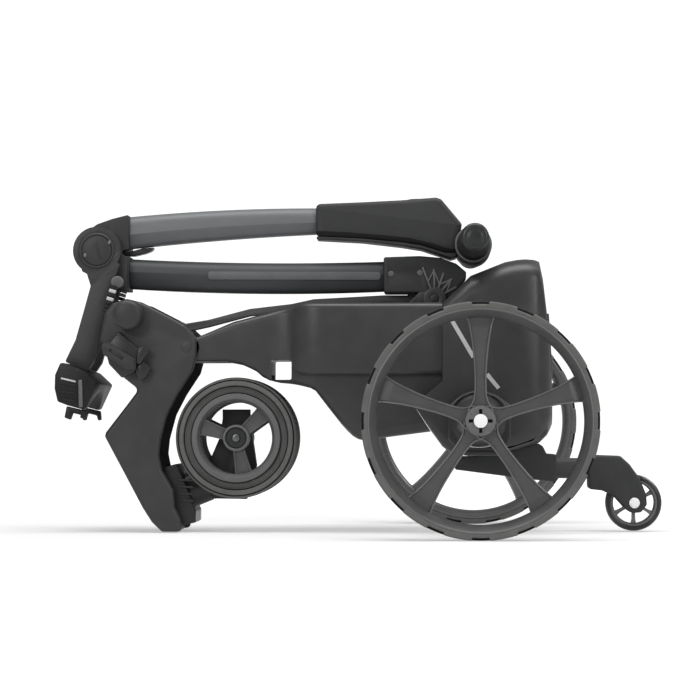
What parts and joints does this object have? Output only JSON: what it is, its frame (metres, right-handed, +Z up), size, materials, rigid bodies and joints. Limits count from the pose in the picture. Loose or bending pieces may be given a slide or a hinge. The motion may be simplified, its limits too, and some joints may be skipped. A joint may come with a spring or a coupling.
{
  "type": "electric golf trolley",
  "caption": "Folding electric golf trolley, stored folded: spoked drive wheels, twin castor front wheel on a folding leg, hinged frame tube and handle, bag cradles, anti-tip wheel.",
  "frame": {"origin": "on the floor under the middle of the folded trolley", "axes": "+X towards the trolley's rear, where the drive and anti-tip wheels are; +Y towards its right side; +Z up"},
  "size_m": [0.8015, 0.599, 0.445],
  "materials": {
    "shell": "fine moulded texture, black",
    "motor": "anodised can",
    "pod": "moulded, black",
    "wheel_plastic": "satin glass-filled nylon, charcoal",
    "tyre": "dark grey solid tyre",
    "steel": "turned",
    "bright": "bright release button",
    "arm_plastic": "moulded, black",
    "grip": "soft grip",
    "clip": "acetal clip",
    "trim": "bumper strip",
    "battery": "battery case",
    "board": "circuit board",
    "painted": "powder coat",
    "tube": "satin graphite paint",
    "cap": "satin cap",
    "pad": "saddle pad",
    "strap": "elastic strap",
    "console": "soft touch, black",
    "display": "display window",
    "leg": "moulded, black"
  },
  "bodies": {
    "chassis": {"chassis_shell_left": "shell", "chassis_shell_right": "shell", "drive_motor_left": "motor", "drive_motor_right": "motor", "drive_pod_left": "pod", "drive_pod_right": "pod", "rear_housing": "shell", "rear_strip": "trim", "axle_bearings": "steel", "battery": "battery", "controller_board": "board", "frame_pivot_pins": "steel", "leg_pivot_pins": "steel", "antitip_arm": "painted", "antitip_fork": "arm_plastic", "antitip_axle": "bright"},
    "rear_wheel_left": {"rear_rim_left": "wheel_plastic", "rear_tyre_left": "tyre", "rear_axle_left": "steel"},
    "rear_wheel_right": {"rear_rim_right": "wheel_plastic", "rear_tyre_right": "tyre", "rear_axle_right": "steel"},
    "release_left": {"release_button_left": "bright"},
    "release_right": {"release_button_right": "bright"},
    "antitip_wheel": {"antitip_rim": "wheel_plastic", "antitip_tyre": "tyre"},
    "frame": {"frame_tube": "tube", "hinge_fitting": "arm_plastic", "fitting_screws": "steel", "frame_collar": "arm_plastic", "cradle_arm_left": "arm_plastic", "cradle_arm_right": "arm_plastic", "pivot_discs": "cap", "handle_pin": "steel", "cradle_saddle": "pad", "strap_hooks": "clip", "upper_strap": "strap"},
    "handle": {"handle_knuckle": "arm_plastic", "handle_tube": "tube", "console_shell": "console", "console_display": "display", "handlebar": "painted", "grip_left": "grip", "grip_right": "grip", "grip_caps": "cap"},
    "latch": {"handle_latch": "clip"},
    "dial": {"speed_dial": "cap"},
    "link": {"fold_link": "painted"},
    "leg": {"leg_shell": "leg", "leg_caps": "cap", "lower_brackets": "clip", "castor_housing": "arm_plastic"},
    "clip_left": {"strap_clip_left": "clip"},
    "clip_right": {"strap_clip_right": "clip"},
    "castor": {"castor_fork": "arm_plastic", "front_axle": "steel"},
    "front_wheel_left": {"front_rim_left": "wheel_plastic", "front_tyre_left": "tyre"},
    "front_wheel_right": {"front_rim_right": "wheel_plastic", "front_tyre_right": "tyre"}
  },
  "joints": [
    {"name": "frame_fold", "type": "hinge", "parent": "chassis", "child": "frame", "pos_m": [0.098, 0, 0.31], "axis": [0, 1, 0], "range_deg": [0, 140]},
    {"name": "handle_fold", "type": "hinge", "parent": "frame", "child": "handle", "pos_m": [-0.351, 0, 0.374], "axis": [0, 1, 0], "range_deg": [-166.01, 0]},
    {"name": "link_pivot", "type": "hinge", "parent": "frame", "child": "link", "pos_m": [0.083, 0, 0.336], "axis": [0, 1, 0], "range_deg": [-140, 0]},
    {"name": "leg_fold", "type": "hinge", "parent": "chassis", "child": "leg", "pos_m": [-0.229, 0, 0.245], "axis": [0, 1, 0], "range_deg": [0, 140]},
    {"name": "castor_swivel", "type": "hinge", "parent": "leg", "child": "castor", "pos_m": [-0.20563, 0, 0.06502], "axis": [0.9285, 0, 0.3714], "continuous": true},
    {"name": "front_spin_left", "type": "hinge", "parent": "castor", "child": "front_wheel_left", "pos_m": [-0.165, -0.045, 0.125], "axis": [0, 1, 0], "continuous": true},
    {"name": "front_spin_right", "type": "hinge", "parent": "castor", "child": "front_wheel_right", "pos_m": [-0.165, 0.045, 0.125], "axis": [0, 1, 0], "continuous": true},
    {"name": "rear_spin_left", "type": "hinge", "parent": "chassis", "child": "rear_wheel_left", "pos_m": [0.154, -0.275, 0.1475], "axis": [0, 1, 0], "continuous": true},
    {"name": "rear_spin_right", "type": "hinge", "parent": "chassis", "child": "rear_wheel_right", "pos_m": [0.154, 0.275, 0.1475], "axis": [0, 1, 0], "continuous": true},
    {"name": "release_left_press", "type": "slide", "parent": "rear_wheel_left", "child": "release_left", "axis": [0, 1, 0], "range_m": [0, 0.0035], "stiffness_N_per_m": 800, "springref_m": -0.001},
    {"name": "release_right_press", "type": "slide", "parent": "rear_wheel_right", "child": "release_right", "axis": [0, -1, 0], "range_m": [0, 0.0035], "stiffness_N_per_m": 800, "springref_m": -0.001},
    {"name": "antitip_spin", "type": "hinge", "parent": "chassis", "child": "antitip_wheel", "pos_m": [0.363, 0, 0.0386], "axis": [0, 1, 0], "continuous": true},
    {"name": "handle_latch_press", "type": "hinge", "parent": "handle", "child": "latch", "pos_m": [-0.319, 0, 0.3715], "axis": [0, 1, 0], "range_deg": [0, 5], "stiffness_Nm_per_rad": 0.6, "springref_deg": -5.73},
    {"name": "dial_turn", "type": "hinge", "parent": "handle", "child": "dial", "pos_m": [0.076, 0, 0.441], "axis": [0, 0, 1], "continuous": true},
    {"name": "clip_left_open", "type": "hinge", "parent": "leg", "child": "clip_left", "pos_m": [-0.294, -0.0863, 0.214], "axis": [0.5026, 0, 0.8645], "range_deg": [0, 55]},
    {"name": "clip_right_open", "type": "hinge", "parent": "leg", "child": "clip_right", "pos_m": [-0.294, 0.0863, 0.214], "axis": [-0.5026, 0, -0.8645], "range_deg": [0, 55]}
  ],
  "couplings": [
    {"joint": "handle_fold", "follows": "frame_fold", "ratio": -1.1857},
    {"joint": "link_pivot", "follows": "frame_fold", "ratio": -1},
    {"joint": "leg_fold", "follows": "frame_fold", "ratio": 1}
  ]
}
